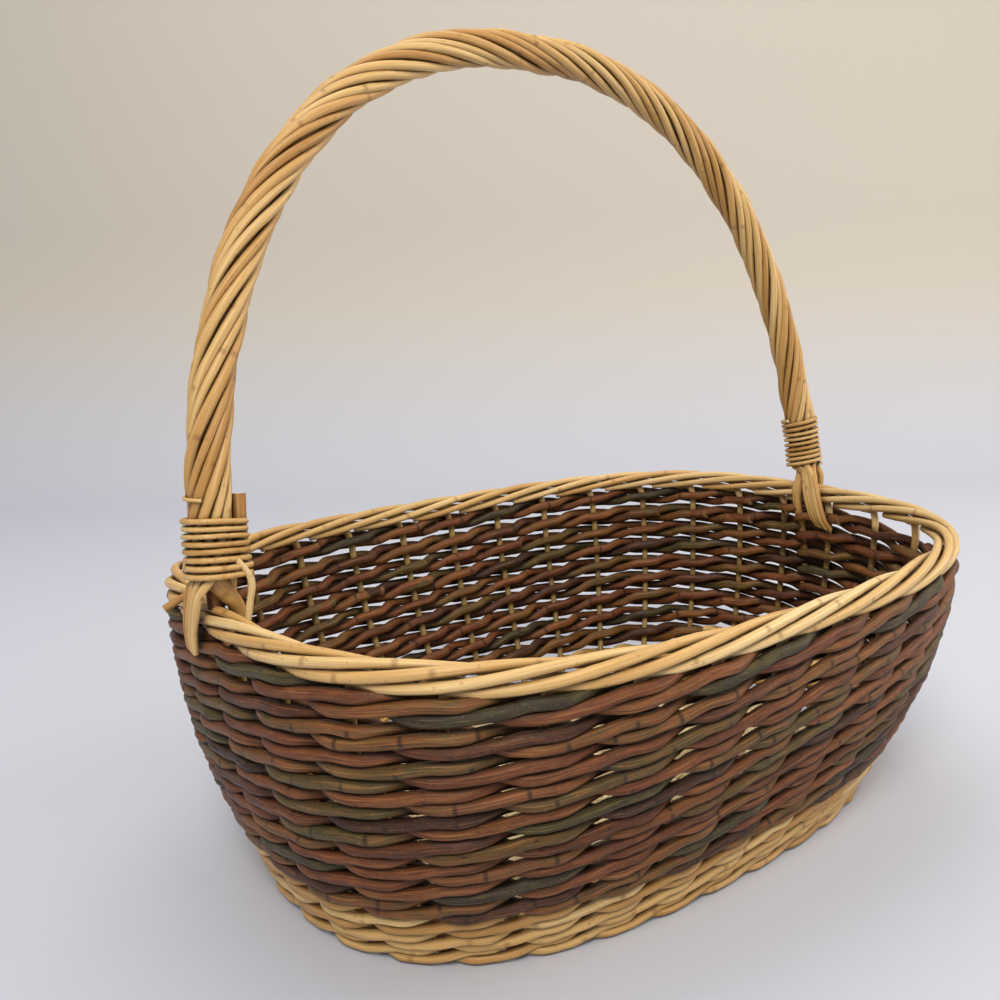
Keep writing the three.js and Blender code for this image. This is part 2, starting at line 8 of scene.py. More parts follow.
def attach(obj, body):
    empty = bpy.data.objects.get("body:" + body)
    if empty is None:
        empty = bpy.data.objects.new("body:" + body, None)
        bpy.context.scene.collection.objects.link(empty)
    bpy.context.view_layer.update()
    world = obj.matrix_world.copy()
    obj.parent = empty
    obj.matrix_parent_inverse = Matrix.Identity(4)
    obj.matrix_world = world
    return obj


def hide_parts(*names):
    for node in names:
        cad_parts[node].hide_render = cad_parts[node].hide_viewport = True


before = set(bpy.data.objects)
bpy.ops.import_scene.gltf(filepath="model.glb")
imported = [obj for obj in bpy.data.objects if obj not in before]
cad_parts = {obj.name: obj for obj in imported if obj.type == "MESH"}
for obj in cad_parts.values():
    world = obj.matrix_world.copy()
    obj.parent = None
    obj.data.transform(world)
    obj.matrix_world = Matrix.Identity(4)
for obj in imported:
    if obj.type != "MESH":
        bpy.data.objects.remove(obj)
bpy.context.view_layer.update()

# An oval willow gathering basket: waled siding in the bark, a buff wale, border and
# roped handle. Lengths are in millimetres and turn to metres as a mesh is made. Those of
# the finishes, the backdrop and the lights are in metres.
mm = 0.001
dice = np.random.RandomState(41)


# Colours and shader nodes

def linearColour(code):
    channels = [int(code[i:i + 2], 16) / 255 for i in (1, 3, 5)]
    linear = [c / 12.92 if c <= 0.04045 else ((c + 0.055) / 1.055) ** 2.4 for c in channels]
    return (*linear, 1)


# Adds one node with its settings, fills or links its inputs, given in order or by name,
# and returns one of its outputs
def addNode(tree, kind, settings, inputs, output=0):
    node = tree.nodes.new(kind)
    for name, value in settings.items():
        setattr(node, name, value)
    for key, value in inputs.items() if isinstance(inputs, dict) else enumerate(inputs):
        if isinstance(value, bpy.types.NodeSocket):
            tree.links.new(value, node.inputs[key])
        else:
            node.inputs[key].default_value = value
    return node.outputs[output] if node.outputs else None


def maths(tree, operation, *values):
    return addNode(tree, "ShaderNodeMath", {"operation": operation}, values)


# Carries a value from one range to another, and holds it inside the second
def mapRange(tree, *values):
    return addNode(tree, "ShaderNodeMapRange", {}, values)


def mixColours(tree, share, first, second):
    return addNode(tree, "ShaderNodeMix", {"data_type": "RGBA"}, {0: share, 6: first, 7: second}, 2)


# How far a rod's tone shifts each of its patterns. The knots' number serves finish and
# shape alike: where both have the same gap, as in the bark, scars sit on swollen knots.
toneShift = {"streaks": 91, "patches": 67, "drift": 37, "knots": 53, "scarSide": 40, "waver": 29}
# Where each pattern begins and ends, on the scale of its noise or distance
patternRange = {
    "streak": (0.3, 0.62), "shine": (0.56, 0.74), "speck": (0.10, 0.17), "knot": (0.012, 0.05),
    "scarSide": (0.2, 0.7), "crevice": (0.15, 0.85), "roughness": (0.3, 0.7), "swelling": (0.0, 0.07),
}


# How far it is to the nearest knot, in a count of knots along a rod
def knotDistance(tree, count):
    return maths(tree, "ABSOLUTE", maths(tree, "SUBTRACT", maths(tree, "FRACT", count), 0.5))


# A willow rod's finish. The eye gets: a colour that differs from rod to rod and drifts
# along each one, fine lengthwise streaks with a painted highlight on the palest, sparse specks,
# a scar where a bud sat, pale wood on cut ends and painted shade in the crevices between rods.
def rodMaterial(name, finish):
    material = bpy.data.materials.new(name)
    material.use_nodes = True
    tree = material.node_tree
    tree.nodes.clear()
    tone, along, around, cut = [
        addNode(tree, "ShaderNodeAttribute", {"attribute_name": key}, {}, "Fac")
        for key in ("rodTone", "along", "around", "cut")]
    shifted = lambda length, key: maths(
        tree, "MULTIPLY_ADD", along, 1 / length, maths(tree, "MULTIPLY", tone, toneShift[key]))

    turn = maths(tree, "MULTIPLY", around, 2 * math.pi)
    across = [maths(tree, kind, turn) for kind in ("COSINE", "SINE")]
    noises = []
    for key, count, length, detail, roughness in (
            ("streaks", finish["streakCount"], finish["streakLength"], 4.0, 0.62),
            ("patches", finish["patchCount"], finish["patchLength"], 5.0, 0.68)):
        x, y = [maths(tree, "MULTIPLY", part, count) for part in across]
        place = addNode(tree, "ShaderNodeCombineXYZ", {}, [x, y, shifted(length, key)])
        noises.append(addNode(tree, "ShaderNodeTexNoise", {}, {
            "Vector": place, "Scale": 1.0, "Detail": detail, "Roughness": roughness}, "Fac"))
    streaks, mottle = noises
    drift = addNode(tree, "ShaderNodeTexNoise", {"noise_dimensions": "1D"}, {
        "W": shifted(finish["driftLength"], "drift"), "Scale": 1.0, "Detail": 2.0}, "Fac")

    share = maths(tree, "MULTIPLY_ADD", maths(tree, "SUBTRACT", drift, 0.5), finish["drift"], tone)
    share = maths(tree, "MULTIPLY_ADD", maths(tree, "SUBTRACT", mottle, 0.5), finish["mottle"], share)
    colour = addNode(tree, "ShaderNodeValToRGB", {}, [share])
    elements = colour.node.color_ramp.elements
    while len(elements) < len(finish["tones"]):
        elements.new(0.5)
    for element, (place, code) in zip(elements, finish["tones"]):
        element.position = place
        element.color = linearColour(code)

    place = addNode(tree, "ShaderNodeTexCoord", {}, {}, "Object")
    specks = addNode(tree, "ShaderNodeTexVoronoi", {"feature": "F1"}, {
        "Vector": place, "Scale": finish["speckScale"]}, "Distance")
    fromKnot = knotDistance(tree, shifted(finish["knotGap"], "knots"))
    nearKnot = mapRange(tree, fromKnot, *patternRange["knot"], finish["knotDepth"], 0.0)
    facing = maths(tree, "COSINE", maths(tree, "MULTIPLY_ADD", tone, toneShift["scarSide"], turn))
    side = mapRange(tree, facing, *patternRange["scarSide"], 0.0, 1.0)
    # Painted shade: ambient occlusion darkens the colour in the crevices between rods
    openness = addNode(
        tree, "ShaderNodeAmbientOcclusion", {"samples": 6}, {"Distance": finish["creviceShadeReach"]}, "AO")
    for key, strength in (
            ("streak", mapRange(tree, streaks, *patternRange["streak"], finish["streakDepth"], 0.0)),
            # Painted highlight: a pale colour on the highest of the streaks
            ("shine", mapRange(tree, streaks, *patternRange["shine"], 0.0, finish["paintedShineDepth"])),
            ("speck", mapRange(tree, specks, *patternRange["speck"], finish["speckDepth"], 0.0)),
            ("knot", maths(tree, "MULTIPLY", nearKnot, side)),
            ("wood", maths(tree, "GREATER_THAN", cut, 0.5)),
            ("crevice", mapRange(tree, openness, *patternRange["crevice"], finish["creviceShadeDepth"], 0.0))):
        colour = mixColours(tree, strength, colour, linearColour(finish[key]))

    height = maths(tree, "ADD", maths(tree, "MULTIPLY", streaks, 0.7), maths(tree, "MULTIPLY", mottle, 0.5))
    shader = addNode(tree, "ShaderNodeBsdfPrincipled", {}, {
        "Base Color": colour, "Specular IOR Level": finish["specular"],
        "Roughness": mapRange(tree, streaks, *patternRange["roughness"], *finish["roughness"]),
        "Normal": addNode(tree, "ShaderNodeBump", {}, {
            "Height": height, "Strength": finish["bump"], "Distance": finish["bumpHeight"]})})
    addNode(tree, "ShaderNodeOutputMaterial", {}, [shader])
    return material


# Bark, left on and dried: brown to olive, streaked, with a soft shine
barkWillow = rodMaterial("willow_in_bark_satin", {
    "tones": [
        (0.0, "#40281b"), (0.18, "#5c3520"), (0.36, "#7b4525"), (0.52, "#8e572e"),
        (0.66, "#7c582c"), (0.8, "#61522a"), (0.92, "#4a4524"), (1.0, "#403827"),
    ],
    "streakCount": 5.0, "streakLength": 0.03, "driftLength": 0.13, "drift": 0.36,
    "patchCount": 0.9, "patchLength": 0.012, "mottle": 0.85, "streak": "#1f130d", "streakDepth": 0.85,
    # Painted highlight: the shine colour on the palest streaks
    "shine": "#a5804f", "paintedShineDepth": 0.55, "speckScale": 420, "speck": "#a88a5c", "speckDepth": 0.3,
    "knotGap": 0.034, "knotDepth": 0.75, "knot": "#20140d", "wood": "#8f7553",
    # Painted shade: the crevice colour darkens the rod where ambient occlusion finds parts close by
    "crevice": "#120a06", "creviceShadeDepth": 0.85, "creviceShadeReach": 0.009,
    "roughness": (0.4, 0.62), "specular": 0.32, "bump": 1.0, "bumpHeight": 0.0006,
})
# Buff willow, boiled and peeled: golden tan, smooth, with the odd brown scar
buffWillow = rodMaterial("buff_willow_satin", {
    "tones": [(0.0, "#a07339"), (0.25, "#b88c4d"), (0.5, "#cba363"), (0.75, "#d8b779"), (1.0, "#e6cc97")],
    "streakCount": 3.4, "streakLength": 0.05, "driftLength": 0.22, "drift": 0.35,
    "patchCount": 0.9, "patchLength": 0.05, "mottle": 0.4, "streak": "#96672f", "streakDepth": 0.5,
    # Painted highlight: the shine colour on the palest streaks
    "shine": "#efdcb0", "paintedShineDepth": 0.34, "speckScale": 150, "speck": "#83572a", "speckDepth": 0.3,
    "knotGap": 0.047, "knotDepth": 0.5, "knot": "#7b5128", "wood": "#ead7aa",
    # Painted shade: the crevice colour darkens the rod where ambient occlusion finds parts close by
    "crevice": "#4d3013", "creviceShadeDepth": 0.8, "creviceShadeReach": 0.008,
    "roughness": (0.34, 0.52), "specular": 0.45, "bump": 0.3, "bumpHeight": 0.0006,
})
# Stakes of buff willow: duller and greener where they pass through the siding
stakeWillow = rodMaterial("buff_willow_stakes_dull", {
    "tones": [(0.0, "#8c7440"), (0.35, "#a68b50"), (0.65, "#bb9b5d"), (1.0, "#ceb074")],
    "streakCount": 2.6, "streakLength": 0.04, "driftLength": 0.12, "drift": 0.5,
    "patchCount": 0.9, "patchLength": 0.04, "mottle": 0.45, "streak": "#6f5a32", "streakDepth": 0.5,
    # Painted highlight: the shine colour on the palest streaks
    "shine": "#d2bb8a", "paintedShineDepth": 0.25, "speckScale": 160, "speck": "#6b4d2a", "speckDepth": 0.3,
    "knotGap": 0.05, "knotDepth": 0.5, "knot": "#5d4527", "wood": "#dcc797",
    # Painted shade: the crevice colour darkens the rod where ambient occlusion finds parts close by
    "crevice": "#3a2813", "creviceShadeDepth": 0.8, "creviceShadeReach": 0.008,
    "roughness": (0.42, 0.6), "specular": 0.38, "bump": 0.35, "bumpHeight": 0.0006,
})
# White willow of the base: pale, dry and matt
whiteWillow = rodMaterial("white_willow_matt", {
    "tones": [(0.0, "#b39e74"), (0.4, "#c8b68c"), (0.75, "#d6c7a1"), (1.0, "#e2d6b6")],
    "streakCount": 2.6, "streakLength": 0.04, "driftLength": 0.12, "drift": 0.4,
    "patchCount": 0.9, "patchLength": 0.05, "mottle": 0.3, "streak": "#9a8257", "streakDepth": 0.4,
    # Painted highlight: the shine colour on the palest streaks
    "shine": "#ece2c6", "paintedShineDepth": 0.25, "speckScale": 150, "speck": "#8b7046", "speckDepth": 0.25,
    "knotGap": 0.05, "knotDepth": 0.4, "knot": "#86683f", "wood": "#e9dcb9",
    # Painted shade: the crevice colour darkens the rod where ambient occlusion finds parts close by
    "crevice": "#54422a", "creviceShadeDepth": 0.75, "creviceShadeReach": 0.006,
    "roughness": (0.55, 0.72), "specular": 0.3, "bump": 0.35, "bumpHeight": 0.0006,
})
print("scene: materials ready")


# Geometry Nodes: lines with a radius on each point become rods with a waver,
# swollen knots and closed ends
def buildRodTree():
    tree = bpy.data.node_groups.new("willow_rods", "GeometryNodeTree")
    for name, kind in (
            ("Geometry", "Geometry"), ("Finish", "Material"), ("Sides", "Int"), ("Waver", "Float"),
            ("Waver Scale", "Float"), ("Knot Gap", "Float"), ("Knot Swell", "Float")):
        tree.interface.new_socket(name, in_out="INPUT", socket_type="NodeSocket" + kind)
    tree.interface.new_socket("Geometry", in_out="OUTPUT", socket_type="NodeSocketGeometry")
    given = tree.nodes.new("NodeGroupInput").outputs
    radius, tone, along = [
        addNode(tree, "GeometryNodeInputNamedAttribute", {"data_type": "FLOAT"}, {"Name": key})
        for key in ("rodRadius", "rodTone", "along")]
    circle = addNode(tree, "GeometryNodeCurvePrimitiveCircle", {}, {
        "Resolution": given["Sides"], "Radius": 1.0})
    ring = addNode(tree, "GeometryNodeStoreNamedAttribute", {"data_type": "FLOAT", "domain": "POINT"}, {
        "Geometry": circle, "Name": "around",
        "Value": addNode(tree, "GeometryNodeSplineParameter", {}, {}, "Factor")})
    curve = addNode(tree, "GeometryNodeMeshToCurve", {}, {"Mesh": given["Geometry"]})
    body = addNode(tree, "GeometryNodeCurveToMesh", {}, {
        "Curve": curve, "Profile Curve": ring, "Scale": radius, "Fill Caps": True})
    position = addNode(tree, "GeometryNodeInputPosition", {}, {})
    normal = addNode(tree, "GeometryNodeInputNormal", {}, {})
    noise = addNode(tree, "ShaderNodeTexNoise", {"noise_dimensions": "4D"}, {
        "Vector": position, "W": maths(tree, "MULTIPLY", tone, toneShift["waver"]),
        "Scale": given["Waver Scale"], "Detail": 1.0}, "Fac")
    waver = maths(tree, "MULTIPLY", maths(tree, "SUBTRACT", noise, 0.5), given["Waver"])
    knots = maths(tree, "DIVIDE", along, given["Knot Gap"])
    knots = maths(tree, "ADD", knots, maths(tree, "MULTIPLY", tone, toneShift["knots"]))
    nearKnot = mapRange(tree, knotDistance(tree, knots), *patternRange["swelling"], 1.0, 0.0)
    swell = maths(tree, "MULTIPLY", nearKnot, given["Knot Swell"])
    offset = addNode(tree, "ShaderNodeVectorMath", {"operation": "SCALE"}, {
        0: normal, "Scale": maths(tree, "ADD", waver, swell)})
    moved = addNode(tree, "GeometryNodeSetPosition", {}, {"Geometry": body, "Offset": offset})
    whole = addNode(tree, "GeometryNodeRealizeInstances", {}, {"Geometry": moved})
    done = addNode(tree, "GeometryNodeSetMaterial", {}, {"Geometry": whole, "Material": given["Finish"]})
    addNode(tree, "NodeGroupOutput", {}, [done])
    return tree


rodTree = buildRodTree()
rodInputs = {item.name: item.identifier for item in rodTree.interface.items_tree if item.in_out == "INPUT"}
rodCount = 0
capLength = 0.06
# Half the span over which a direction is taken: in counts of stakes, up the wall and
# along the handle
probe = {"count": 0.1, "height": 5, "length": 3}


def lengthsAlong(points):
    steps = np.linalg.norm(np.diff(points, axis=0), axis=1)
    return np.concatenate([[0.0], np.cumsum(steps)])


def between(low, high, share):
    return low + (high - low) * share


# One piece of the basket from its rods: each has points, a radius for each point and a tone
def rodPiece(name, rods, material, nodes,
             sides=10, waver=0.25, waverScale=160.0, knotGap=34.0, knotSwell=0.18):
    global rodCount
    places, edges, radii, tones, alongs, cuts = [], [], [], [], [], []
    for rod in rods:
        points = np.asarray(rod["points"], float)
        radius = np.broadcast_to(np.asarray(rod["radius"], float), len(points)).copy()
        tip = capLength / np.maximum(1e-6, np.linalg.norm(points[0] - points[1]))
        tail = capLength / np.maximum(1e-6, np.linalg.norm(points[-1] - points[-2]))
        first = points[0] + (points[0] - points[1]) * tip
        last = points[-1] + (points[-1] - points[-2]) * tail
        points = np.vstack([first, points, last])
        radius = np.concatenate([[radius[0]], radius, [radius[-1]]])
        start = sum(len(part) for part in places)
        places.append(points)
        edges += [(start + i, start + i + 1) for i in range(len(points) - 1)]
        radii.append(radius)
        tone = np.broadcast_to(np.asarray(rod["tone"], float), len(points) - 2)
        tones.append(np.concatenate([[tone[0]], tone, [tone[-1]]]))
        alongs.append(lengthsAlong(points) * mm)
        cuts.append(np.array([1.0] + [0.0] * (len(points) - 2) + [1.0]))
    line = bpy.data.meshes.new(name + "_line")
    line.from_pydata((np.vstack(places) * mm).tolist(), edges, [])
    for key, values in (
            ("rodRadius", np.concatenate(radii) * mm), ("rodTone", np.concatenate(tones)),
            ("along", np.concatenate(alongs)), ("cut", np.concatenate(cuts))):
        line.attributes.new(key, "FLOAT", "POINT").data.foreach_set("value", values.astype(np.float32))
    guide = bpy.data.objects.new(name + "_guide", line)
    bpy.context.scene.collection.objects.link(guide)
    modifier = guide.modifiers.new("rods", "NODES")
    modifier.node_group = rodTree
    for key, value in (
            ("Finish", material), ("Sides", sides), ("Waver", waver * mm), ("Waver Scale", waverScale),
            ("Knot Gap", knotGap * mm), ("Knot Swell", knotSwell * mm)):
        modifier[rodInputs[key]] = value
    bpy.context.view_layer.update()
    mesh = bpy.data.meshes.new_from_object(guide.evaluated_get(bpy.context.evaluated_depsgraph_get()))
    bpy.data.objects.remove(guide)
    bpy.data.meshes.remove(line)
    mesh.name = name
    mesh.polygons.foreach_set("use_smooth", [len(face.vertices) == 4 for face in mesh.polygons])
    piece = bpy.data.objects.new(name, mesh)
    bpy.context.scene.collection.objects.link(piece)
    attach(piece, "root")
    if nodes:
        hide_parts(*nodes)
    rodCount += len(rods)
    return piece


# The wall: the same rounded oval rings as the solids
basket = {
    "rimHalfLength": 240, "rimHalfWidth": 197, "baseHalfLength": 206, "baseHalfWidth": 141,
    "borderHeight": 173, "endLift": 6, "footHeight": 9, "endFlare": 2.3, "sideFlare": 1.51,
    "baseSquareness": 2.57, "rimSquareness": 2.93, "stakes": 32,
}
wallLevels = np.array([0, 9, 18, 30, 45, 60, 75, 90, 105, 122, 140, 157, 173, 190], float)
countSteps = 16


def ringPoints(z):
    h = min(1, max(0, (z - basket["footHeight"]) / (basket["borderHeight"] - basket["footHeight"])))
    lengthShare, widthShare = [1 - (1 - h) ** basket[key] for key in ("endFlare", "sideFlare")]
    halfLength = between(basket["baseHalfLength"], basket["rimHalfLength"], lengthShare)
    halfWidth = between(basket["baseHalfWidth"], basket["rimHalfWidth"], widthShare)
    squareness = between(basket["baseSquareness"], basket["rimSquareness"], min(1, 2 * h))
    turn = np.linspace(0, 2 * np.pi, 1441)
    c, s = np.cos(turn), np.sin(turn)
    endShare = np.abs(c) ** (2 / squareness)
    x = halfLength * np.sign(c) * endShare
    y = halfWidth * np.sign(s) * np.abs(s) ** (2 / squareness)
    height = z + basket["endLift"] * endShare ** 2 * z / basket["borderHeight"]
    points = np.stack([x, y, height], 1)
    lengths = lengthsAlong(points)
    wanted = (np.arange(basket["stakes"] * countSteps + 1) / countSteps) / basket["stakes"] * lengths[-1]
    return np.stack([np.interp(wanted, lengths, points[:, k]) for k in range(3)], 1)


wallTable = np.stack([ringPoints(z) for z in wallLevels])


# Points of the wall at counts of stakes from the +X end and at heights
def wallPoints(count, z):
    count, z = np.broadcast_arrays(np.asarray(count, float), np.asarray(z, float))
    level = np.clip(np.searchsorted(wallLevels, z, side="right") - 1, 0, len(wallLevels) - 2)
    share = ((z - wallLevels[level]) / (wallLevels[level + 1] - wallLevels[level]))[..., None]
    place = ((count + 0.5) % basket["stakes"]) * countSteps
    low = np.floor(place).astype(int)
    part = (place - low)[..., None]
    high = (low + 1) % wallTable.shape[1]
    row = lambda line: wallTable[line, low] * (1 - part) + wallTable[line, high] * part
    return row(level) * (1 - share) + row(level + 1) * share


def unit(vectors):
    return vectors / np.linalg.norm(vectors, axis=-1, keepdims=True)


def wallAlong(count, z):
    return unit(wallPoints(count + probe["count"], z) - wallPoints(count - probe["count"], z))


# Outward from the wall, square to its slope
def wallOut(count, z):
    up = unit(wallPoints(count, z + probe["height"]) - wallPoints(count, z - probe["height"]))
    return unit(np.cross(wallAlong(count, z), up))


# Outward from the wall and level
def levelOut(count, z):
    along = wallAlong(count, z)
    return unit(np.stack([along[..., 1], -along[..., 0], np.zeros(along.shape[:-1])], -1))


# Smooth line through control values, for any number of columns
def smoothLine(knots, values, wanted):
    knots, values = np.asarray(knots, float), np.asarray(values, float)
    values = values.reshape(len(knots), -1)
    slopes = np.gradient(values, knots, axis=0)
    i = np.clip(np.searchsorted(knots, wanted, side="right") - 1, 0, len(knots) - 2)
    span = (knots[i + 1] - knots[i])[:, None]
    t = (wanted[:, None] - knots[i][:, None]) / span
    a, b, u, v = values[i], values[i + 1], slopes[i] * span, slopes[i + 1] * span
    return ((2 * t ** 3 - 3 * t ** 2 + 1) * a + (t ** 3 - 2 * t ** 2 + t) * u
            + (3 * t ** 2 - 2 * t ** 3) * b + (t ** 3 - t ** 2) * v)


def smoothPath(points, step=4.0):
    points = np.asarray(points, float)
    knots = lengthsAlong(points)
    wanted = np.linspace(0, knots[-1], max(4, int(knots[-1] / step)))
    return smoothLine(knots, points, wanted)


# Weaving: each rod runs in front of two stakes and behind one. It comes to the front
# low, rises as it passes its two stakes and goes in high, over the next rod. Marks and
# runs are counts of stakes, depths go outward from the stakes and lifts over the round.
weave = {
    "stakeRadius": 2.4, "stroke": 3, "firstRound": 6.9, "waleRounds": 3, "waleRound": 12.7,
    "sidingRounds": 9, "lastRound": 158.2, "weavers": 3, "stepUp": 4,
    "rise": 3.7, "waleFlatter": 0.4, "crossing": 3.4, "shoulder": 2.6, "dip": 0.3, "tilt": 0.9,
    "clearance": 0.1, "through": -1.4, "cupped": 0.3, "belly": 0.4, "sag": 0.6,
    "loose": 0.7, "looseOut": 0.8, "behindRun": 0.25, "frontMarks": (0.42, 0.84, 1.2, 1.5, 1.8, 2.16, 2.58),
    "endRun": 0.34, "endDepth": 0.5, "endTilt": 0.8, "grain": 0.1,
    "topLift": 1.8, "topRound": 10.5, "floorLift": -2.4, "freeLift": -9,
}
wale = {"butt": 3.1, "tip": 2.6, "lengths": 4}
siding = {"butt": 3.6, "tip": 3.1, "lengths": 5, "joins": 2}
waleTop = weave["firstRound"] + (weave["waleRounds"] - 1) * weave["waleRound"]
roundHeights = [weave["firstRound"] + i * weave["waleRound"] for i in range(weave["waleRounds"])]
sidingStep = (weave["lastRound"] - waleTop) / weave["sidingRounds"]
roundHeights += [waleTop + (i + 1) * sidingStep for i in range(weave["sidingRounds"])]
roundHeights = np.array(roundHeights + roundHeights[-1:])


def weaverHeight(count):
    turn = np.clip(np.floor(count / basket["stakes"]).astype(int), 0, len(roundHeights) - 2)
    before = (turn + 1) * basket["stakes"] - count
    t = np.clip(1 - before / weave["stepUp"], 0, 1)
    rise = t * t * (3 - 2 * t)
    return roundHeights[turn] * (1 - rise) + roundHeights[turn + 1] * rise


# The handle's tongues inside the wall, which the rods leave room for
tongue = {
    "depth": 11.15, "foot": 116, "height": 57, "lowest": 98, "halfWidth": 0.42, "fade": 0.2, "radius": 2.2,
}


def tongueDepth(z):
    return -tongue["depth"] * np.clip((z - tongue["foot"]) / tongue["height"], 0, 1)


# One rod's path between two stakes that it passes behind, in counts of stakes. Each stroke
# is set by its distance outward from the wall and its lift over the round's height.
def weaverPath(start, end, radius):
    behind = weave["stakeRadius"] + radius
    front = weave["stakeRadius"] + radius + weave["clearance"]
    rise = weave["rise"] - (weave["waleFlatter"] if start < weave["waleRounds"] * basket["stakes"] else 0)
    crossing, shoulder, through = weave["crossing"], weave["shoulder"], weave["through"]
    cupped, tilt, run = weave["cupped"], weave["tilt"], weave["behindRun"]
    knots, values = [], []
    for back in range(start, end + 1, weave["stroke"]):
        loose = dice.uniform(-weave["loose"], weave["loose"], 5)
        reach = dice.uniform(0, weave["looseOut"], 3)
        knots += [back - run, back, back + run]
        values += [(-behind + cupped, loose[0] + tilt), (-behind, loose[0]),
                   (-behind + cupped, loose[0] - tilt)]
        if back < end:
            low = 0 if back < basket["stakes"] else weave["dip"] + loose[1]
            knots += [back + mark for mark in weave["frontMarks"]]
            values += [(through, -crossing), (front + reach[0], -rise - low), (front + cupped, -shoulder),
                       (front + reach[1] + weave["belly"], weave["sag"] * loose[2]),
                       (front + cupped, shoulder), (front + reach[2], rise + loose[3]), (through, crossing)]
    knots = [start - weave["endRun"]] + knots + [end + weave["endRun"]]
    tucked = -behind - weave["endDepth"]
    values = [(tucked, weave["endTilt"])] + values + [(tucked, -weave["endTilt"])]
    count = np.arange(knots[0], knots[-1] + weave["grain"] / 2, weave["grain"])
    count = count[count <= knots[-1]]
    out, lift = smoothLine(knots, values, count).T
    lift = lift + weave["topLift"] * np.clip(count / basket["stakes"] - weave["topRound"], 0, 1)
    lift = np.maximum(lift, np.where(count < basket["stakes"], weave["floorLift"], weave["freeLift"]))
    z = weaverHeight(count)
    gap = (count + 0.5) % (basket["stakes"] / 2)
    gap = np.minimum(gap, basket["stakes"] / 2 - gap)
    inTongue = np.clip((tongue["halfWidth"] - gap) / tongue["fade"], 0, 1)
    inTongue = inTongue * (z + lift > tongue["lowest"]) * (out < 1)
    room = tongueDepth(z + lift) - tongue["radius"] - radius
    out = out * (1 - inTongue) + np.minimum(out, room) * inTongue
    return wallPoints(count, z + lift) + wallOut(count, z) * out[:, None]


# A rod's radius along its points, from its butt to its tip
def taper(points, thick, thin, buttFirst):
    share = lengthsAlong(points)
    share = share / share[-1]
    return between(thick, thin, (share if buttFirst else 1 - share) ** 0.9)


# The rods pieced in one after another between two counts, laid butt to butt and tip to tip
def weaverRods(start, end, parts, tones, sizes):
    stroke = weave["stroke"]
    strokes = (end - start) // stroke
    rods = []
    for part in range(parts):
        first = start + stroke * round(strokes * part / parts)
        last = start + stroke * round(strokes * (part + 1) / parts)
        points = weaverPath(first, last, (sizes["butt"] + sizes["tip"]) / 2)
        radius = taper(points, sizes["butt"], sizes["tip"], part % 2 == 0)
        rods.append({"points": points, "radius": radius, "tone": tones[part]})
    return rods


def addWale():
    for rod in range(weave["weavers"]):
        end = rod + weave["waleRounds"] * basket["stakes"]
        end -= (end - rod) % weave["stroke"]
        tones = dice.uniform(0.2, 0.75, wale["lengths"])
        rods = weaverRods(rod, end, wale["lengths"], tones, wale)
        rodPiece(f"wale_rod_{rod + 1}_buff", rods, buffWillow, [f"wale_rod_{rod + 1}"])


def addSiding():
    slots = ["brown_willow_bark", "ginger_willow_bark", "olive_willow_bark"]
    ranges = [(0.0, 0.42), (0.3, 0.62), (0.55, 1.0)]
    stroke = weave["stroke"]
    first = weave["waleRounds"] * basket["stakes"]
    last = (weave["waleRounds"] + weave["sidingRounds"]) * basket["stakes"] - weave["stepUp"]
    for rod in range(weave["weavers"]):
        start = first + rod - first % stroke
        strokes = (last - start) // stroke
        for part in range(siding["lengths"]):
            begin = start + stroke * int(strokes * part / siding["lengths"] + 0.5)
            end = start + stroke * int(strokes * (part + 1) / siding["lengths"] + 0.5)
            kind = (rod + part) % len(slots)
            number = f"siding_rod_{part * weave['weavers'] + rod + 1:02d}"
            tones = dice.uniform(*ranges[kind], siding["joins"])
            rods = weaverRods(begin, end, siding["joins"], tones, siding)
            rodPiece(number + "_bark", rods, barkWillow,
                     [number], knotSwell=0.35, waver=0.9, waverScale=110)


# Stakes: toe, upright and border tail in one rod, and the tail winds once round the border
border = {
    "strands": 5, "wind": 5.6, "bottom": 167.25, "thick": 3.0, "thin": 2.3, "run": 4.72,
    "toeHeight": 2.9, "toe": [(26, 0), (12, 0), (2.4, 0.5), (0, 3.4)], "upright": 14, "uprightStep": 9.0,
    "marks": [0, 30, 175, 215], "radii": [1.9, 2.35, 2.4], "toneMarks": [150, 185], "laidFrom": 3.5,
    "sway": 0.03, "swayWave": 38, "swayPhase": 60, "swayFade": 30, "windWaver": 0.35, "windWave": 1.3,
    "firstTravel": 0.07, "travelStep": 0.25, "grain": 3.6,
}


def stakePath(index, endCount):
    foot = wallPoints(index, border["toeHeight"])
    out = levelOut(index, 1)
    rows = [foot - out * inward + [0, 0, up] for inward, up in border["toe"]]
    sway = dice.uniform(-border["sway"], border["sway"], 3)
    for z in np.arange(border["upright"], border["bottom"] - 5, border["uprightStep"]):
        drift = sway[0] * math.sin(z / border["swayWave"] + sway[1] * border["swayPhase"])
        rows.append(wallPoints(index + drift * min(1, (border["bottom"] - z) / border["swayFade"]), z))
    travels = np.arange(border["travelStep"], endCount, border["travelStep"])
    for travel in np.concatenate([[border["firstTravel"]], travels, [endCount]]):
        out = levelOut(index + travel, border["bottom"])
        turn = 2 * math.pi * travel / border["strands"] - math.pi / 2
        wind = border["wind"] + border["windWaver"] * math.sin(border["windWave"] * travel + index)
        centre = wallPoints(index + travel, border["bottom"]) + [0, 0, border["wind"]]
        rows.append(centre + wind * (out * math.cos(turn) + np.array([0, 0, math.sin(turn)])))
    return smoothPath(rows, border["grain"])


